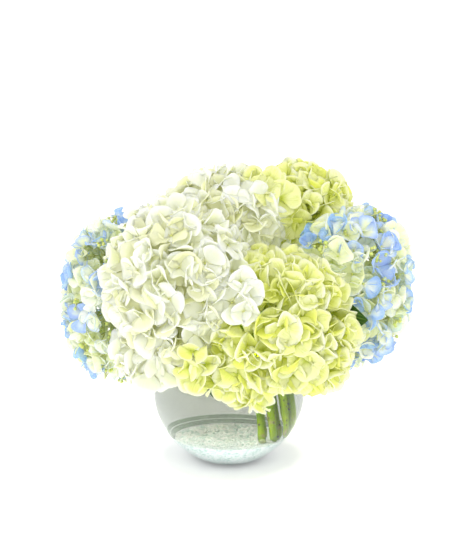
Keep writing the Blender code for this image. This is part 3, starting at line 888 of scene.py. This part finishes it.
def makeHead(name, seed, templates, looks):
    kind = name.split("_")[0]
    look = bloom[kind]
    rnd = random.Random(seed)
    bm = bmesh.new()
    average = sum(look["sepal"]) / 2
    centre, sizes, hub = headCentre(name), headSizes(name), stemPath(name)[0][-1]
    spots = headSpots(name, look, rnd)
    for spot, facing, depth, extra in spots:
        size = rnd.uniform(*look["sepal"]) / average * (1 - 0.1 * depth)
        place = (Matrix.Translation(spot) @ up.rotation_difference(facing).to_matrix().to_4x4()
                 @ Matrix.Rotation(rnd.uniform(0, math.tau), 4, "Z")
                 @ Matrix.Diagonal((size, size, size, 1)))
        mesh = rnd.choice(templates[kind]).copy()
        mesh.transform(place)
        # the third channel is how deep the floret sits, which sets its painted shade
        own = (rnd.uniform(*look["tint"]), rnd.random(), depth, 1.0)
        allowed = rnd.uniform(*floret["outside"])
        if settle(mesh, spot, centre, sizes, hems.get(name, (1.0, 0.0)), allowed, extra):
            mesh.attributes["own"].data.foreach_set("color", own * len(mesh.vertices))
            bm.from_mesh(mesh)
        bpy.data.meshes.remove(mesh)
    # branches that carry the florets
    branches, _ = startFloret()
    for i in range(floret["branches"]):
        z = 1 - 1.7 * (i + 0.5) / floret["branches"]
        flatR = math.sqrt(1 - z * z)
        tip = centre + Vector((flatR * math.cos(i * 2.4) * sizes.x, flatR * math.sin(i * 2.4) * sizes.y,
                               z * sizes.z)) * 0.62
        if (tip - bowlCentre).length > bowl["radius"] + 8 * mm:
            sweepTube(branches, [hub, hub.lerp(tip, 0.5) + up * 3 * mm, tip],
                      (1.5 * mm, 1.2 * mm, 0.9 * mm), 7)
    for face in branches.faces:
        face.material_index = 2
    mesh = keepMesh(branches, "branches")
    bm.from_mesh(mesh)
    bpy.data.meshes.remove(mesh)
    print("head", name, len(spots), "florets", len(bm.faces), "faces")
    return finishPiece("mophead_" + name, bm, looks[kind], kind + "_florets", "head_" + name)


leaves = {
    "thickness": 0.5 * mm,
    "rest": 1.8 * mm,
    "stalk": 2.4 * mm,
}
lowLeaves = {"leaf_front": (-101, 50, 40), "leaf_left": (-178, 42, 42), "leaf_back": (96, 48, 44),
             "leaf_right": (-8, 40, 40)}
sideLeaves = {"leaf_side": ("green_front", "blue_right", 73, 26, 82, 46)}


def leafMaterial():
    # mature hydrangea leaf: thick, dark, half glossy, with a pale midrib and sunk side veins
    made, tree, shader = newMaterial("hydrangeaLeaf", {
        "Roughness": 0.42, "IOR": 1.42, "Subsurface Weight": 0.1, "Subsurface Radius": (0.3, 1.0, 0.1),
        "Subsurface Scale": 1 * mm})
    flat = addNode(tree, "ShaderNodeUVMap", {"uv_map": "leaf"})
    split = addNode(tree, "ShaderNodeSeparateXYZ", None, {0: flat.outputs[0]})
    across = addNode(tree, "ShaderNodeMath", {"operation": "ABSOLUTE"}, {0: split.outputs[1]})
    rib = addNode(tree, "ShaderNodeMapRange", {1: 0.02, 2: 0.09, 3: 1.0, 4: 0.0}, {0: across.outputs[0]})
    slope = addNode(tree, "ShaderNodeMath", {"operation": "MULTIPLY_ADD", 1: -0.28},
                    {0: across.outputs[0], 2: split.outputs[0]})
    waves = addNode(tree, "ShaderNodeMath", {"operation": "MULTIPLY", 1: math.tau * 4},
                    {0: slope.outputs[0]})
    sine = addNode(tree, "ShaderNodeMath", {"operation": "COSINE"}, {0: waves.outputs[0]})
    side = addNode(tree, "ShaderNodeMapRange", {1: 0.93, 2: 1.0, 3: 0.0, 4: 0.7}, {0: sine.outputs[0]})
    veins = addNode(tree, "ShaderNodeMath", {"operation": "MAXIMUM"},
                    {0: rib.outputs[0], 1: side.outputs[0]})
    place = addNode(tree, "ShaderNodeTexCoord")
    tone = addNode(tree, "ShaderNodeTexNoise", {"Scale": 1 / (9 * mm), "Detail": 3.0},
                   {"Vector": place.outputs["Object"]})
    blade = addNode(tree, "ShaderNodeMix",
                    {"data_type": "RGBA", 6: linear("#23481A"), 7: linear("#386228")},
                    {0: tone.outputs["Fac"]})
    veined = addNode(tree, "ShaderNodeMix", {"data_type": "RGBA", 7: linear("#6F8F4A")},
                     {0: veins.outputs[0], 6: blade.outputs[2]})
    bump = addNode(tree, "ShaderNodeBump", {"Strength": 0.7, "Distance": 0.4 * mm, "invert": True},
                   {"Height": veins.outputs[0]})
    tree.links.new(veined.outputs[2], shader.inputs["Base Color"])
    tree.links.new(bump.outputs["Normal"], shader.inputs["Normal"])
    return made


def lowLeafPlace(degrees):
    direction = math.radians(degrees)
    radius = bowl["radius"] + leaves["rest"]
    top = mouthTop + leaves["rest"]
    edgeAngle = ballAngle(radius, top)
    edge = Matrix.Rotation(direction, 3, "Z") @ Vector((radius * math.sin(edgeAngle), 0, 0))
    run = (edge - bunchMiddle).normalized()
    start = bunchMiddle + run * (ringRadius + stems["radius"])
    sideways = Vector((-run.y, run.x, 0))
    stalk = (edge - start).length

    def place(along, across):
        if along <= stalk:
            return start + run * along + sideways * across + up * top
        angle = edgeAngle + (along - stalk) / radius
        ring = radius * math.sin(angle)
        spot = Vector((ring * math.cos(across / ring), ring * math.sin(across / ring),
                       bowlCentreZ + radius * math.cos(angle)))
        return Matrix.Rotation(direction, 3, "Z") @ spot

    return place, stalk


def sideLeafPlace(near, far, reach, length):
    middle, normal = meetingPlane(near, far)
    outward = normal.cross(up).normalized()
    upward = outward.cross(normal).normalized()

    def place(along, across):
        return middle + outward * (reach - length + along) + upward * across

    return place


def makeLeaf(name, place, stalk, blade, width, look):
    bm = bmesh.new()
    uv = bm.loops.layers.uv.new("leaf")
    bmesh.ops.create_grid(bm, x_segments=56, y_segments=16, size=1.0)
    flat = {}
    for vert in bm.verts:
        t, u = (vert.co.x + 1) / 2, vert.co.y
        along = t * (stalk + blade)
        onBlade = min(1.0, max(0.0, (along - stalk) / blade))
        teeth = 0.035 * (0.5 - abs((onBlade * 22) % 1 - 0.5)) * abs(u) ** 6
        half = max(leaves["stalk"] / 2 * (1 - 0.5 * t),
                   width / 2 * (math.sin(math.pi * onBlade ** 0.8) ** 0.85) * (1 + teeth))
        flat[vert] = (onBlade, u)
        vert.co = place(along, u * half)
    for face in bm.faces:
        for loop in face.loops:
            loop[uv].uv = flat[loop.vert]
    bmesh.ops.recalc_face_normals(bm, faces=bm.faces)
    bmesh.ops.solidify(bm, geom=bm.faces[:], thickness=leaves["thickness"])
    return finishPiece(name + "_blade", bm, [look], "leaf", name)


def makeLeaves():
    look = leafMaterial()
    for name, (degrees, blade, width) in lowLeaves.items():
        place, stalk = lowLeafPlace(degrees)
        makeLeaf(name, place, stalk, blade * mm, width * mm, look)
    for name, (near, far, reach, stalk, blade, width) in sideLeaves.items():
        place = sideLeafPlace(near, far, reach * mm, (stalk + blade) * mm)
        makeLeaf(name, place, stalk * mm, blade * mm, width * mm, look)


studio = {
    "floor": (-2.5, 1.2),     # front and back edge of the flat part
    "bend": 0.9,
    "bendSteps": 16,
    "top": 4.0,
    "halfWidth": 4.0,
    "glow": 0.16,
    "room": 1.06,             # white light from all round
    "roomInGloss": 0.34,      # gloss mirrors a room darker than that
}
tableLow, lowAim, stripSize = 30 * mm, (0, 0, 20 * mm), (0.3, 0.04)
# place, aim, size, watts, hidden, and whether it lights only what stands low in the bowl
softboxes = {
    "keySoftbox": ((-0.9, -1.2, 1.3), (0, 0, 0.18), (1.2, 1.2), 4.4, False, False),
    "frontFill": ((0.1, -1.7, 0.45), (0, 0, 0.14), (1.8, 0.7), 5.0, False, False),
    # light that the white table throws up into the bowl
    "bowlFill": ((0, 0, mouthTop - 2 * mm), (0, 0, 0), (0.07, 0.07), 0.62, True, False),
    "frontBounce": ((0, -0.22, tableLow), lowAim, stripSize, 0.5, True, True),
    "rightBounce": ((0.22, 0, tableLow), lowAim, stripSize, 0.3, True, True),
    "backBounce": ((0, 0.22, tableLow), lowAim, stripSize, 0.3, True, True),
    "leftBounce": ((-0.22, 0, tableLow), lowAim, stripSize, 0.3, True, True),
    "leftBackFill": ((-1.7, 0.9, 0.8), (0, 0, 0.18), (1.2, 0.9), 3.0, False, False),
    "rightBackFill": ((1.7, 0.9, 0.8), (0, 0, 0.18), (1.2, 0.9), 3.0, False, False),
}
view = {"elevation": math.radians(14), "distance": 1.32, "aim": Vector((0.0035, 0, 0.188)), "lens": 85}


def makeStudio():
    # matt white paint on a curved sweep
    paint = newMaterial("paintedSweep", {
        "Base Color": linear("#FFFFFF"), "Roughness": 0.85, "Emission Color": linear("#FFFFFF"),
        "Emission Strength": studio["glow"]})[0]
    front, back = studio["floor"]
    bend = studio["bend"]
    angles = [math.pi / 2 * i / studio["bendSteps"] for i in range(1, studio["bendSteps"] + 1)]
    profile = [(front, 0.0), (back, 0.0)]
    profile += [(back + bend * math.sin(a), bend - bend * math.cos(a)) for a in angles]
    profile += [(back + bend, studio["top"])]
    bm = bmesh.new()
    verts = [bm.verts.new((-studio["halfWidth"], y, z)) for y, z in profile]
    edges = [bm.edges.new(pair) for pair in zip(verts, verts[1:])]
    wide = bmesh.ops.extrude_edge_only(bm, edges=edges)["geom"]
    bmesh.ops.translate(bm, verts=[part for part in wide if isinstance(part, bmesh.types.BMVert)],
                        vec=(2 * studio["halfWidth"], 0, 0))
    bmesh.ops.recalc_face_normals(bm, faces=bm.faces)
    mesh = bpy.data.meshes.new("studio_sweep")
    bm.to_mesh(mesh)
    bm.free()
    mesh.shade_smooth()
    mesh.materials.append(paint)
    sweep = bpy.data.objects.new("studio_sweep", mesh)
    scene.collection.objects.link(sweep)


def addSoftbox(name, spot, aim, size, power, hidden, only):
    lamp = bpy.data.lights.new(name, "AREA")
    lamp.shape = "RECTANGLE"
    lamp.size, lamp.size_y = size
    lamp.energy = power
    holder = bpy.data.objects.new(name, lamp)
    holder.location = spot
    holder.rotation_euler = (Vector(aim) - Vector(spot)).to_track_quat("-Z", "Y").to_euler()
    if only:
        lit = bpy.data.collections.new(name + "Lit")
        for piece in only:
            lit.objects.link(piece)
        holder.light_linking.receiver_collection = lit
    if hidden:
        holder.visible_camera = holder.visible_glossy = holder.visible_transmission = False
    scene.collection.objects.link(holder)


def makeLight(lowPieces):
    world = bpy.data.worlds.new("whiteRoom")
    world.use_nodes = True
    back = world.node_tree.nodes["Background"]
    back.inputs["Color"].default_value = linear("#FFFFFF")
    path = addNode(world.node_tree, "ShaderNodeLightPath")
    strength = addNode(world.node_tree, "ShaderNodeMath",
                       {"operation": "MULTIPLY_ADD", 1: studio["roomInGloss"] - studio["room"],
                        2: studio["room"]}, {0: path.outputs["Is Glossy Ray"]})
    world.node_tree.links.new(strength.outputs[0], back.inputs["Strength"])
    scene.world = world
    for name, (spot, aim, size, power, hidden, low) in softboxes.items():
        addSoftbox(name, spot, aim, size, power, hidden, lowPieces if low else ())
    scene.view_settings.view_transform = "Standard"


def makeCamera():
    lens = bpy.data.cameras.new("studioCamera")
    lens.lens = view["lens"]
    lens.sensor_width = 36
    camera = bpy.data.objects.new("studioCamera", lens)
    back = Vector((0, -math.cos(view["elevation"]), math.sin(view["elevation"])))
    camera.location = view["aim"] + back * view["distance"]
    camera.rotation_euler = (-back).to_track_quat("-Z", "Y").to_euler()
    scene.collection.objects.link(camera)
    scene.camera = camera


makeCamera()
makeStudio()
makeBowl()
makeWater()
lowPieces = [makeGrit(), makePaintedReflectionFilm()]
print("bowl, water and grit ready")
lowPieces += makeStems(greenStalk(), cutPith())
print("stems ready")
makeLight(lowPieces)
print("studio ready")
twig = twigMaterial()
looks = {kind: [sepalMaterial(kind), budMaterial(kind), twig] for kind in bloom}
pick = random.Random(3)
templates = {kind: [openFloret(kind, pick) for _ in range(floret["kinds"])]
             + [budCluster(kind, pick) for _ in range(bloom[kind]["clusters"])] for kind in bloom}
for seed, name in enumerate(heads):
    makeHead(name, 100 + seed, templates, looks)
for mesh in [mesh for kept in templates.values() for mesh in kept]:
    bpy.data.meshes.remove(mesh)
makeLeaves()
print("leaves ready")
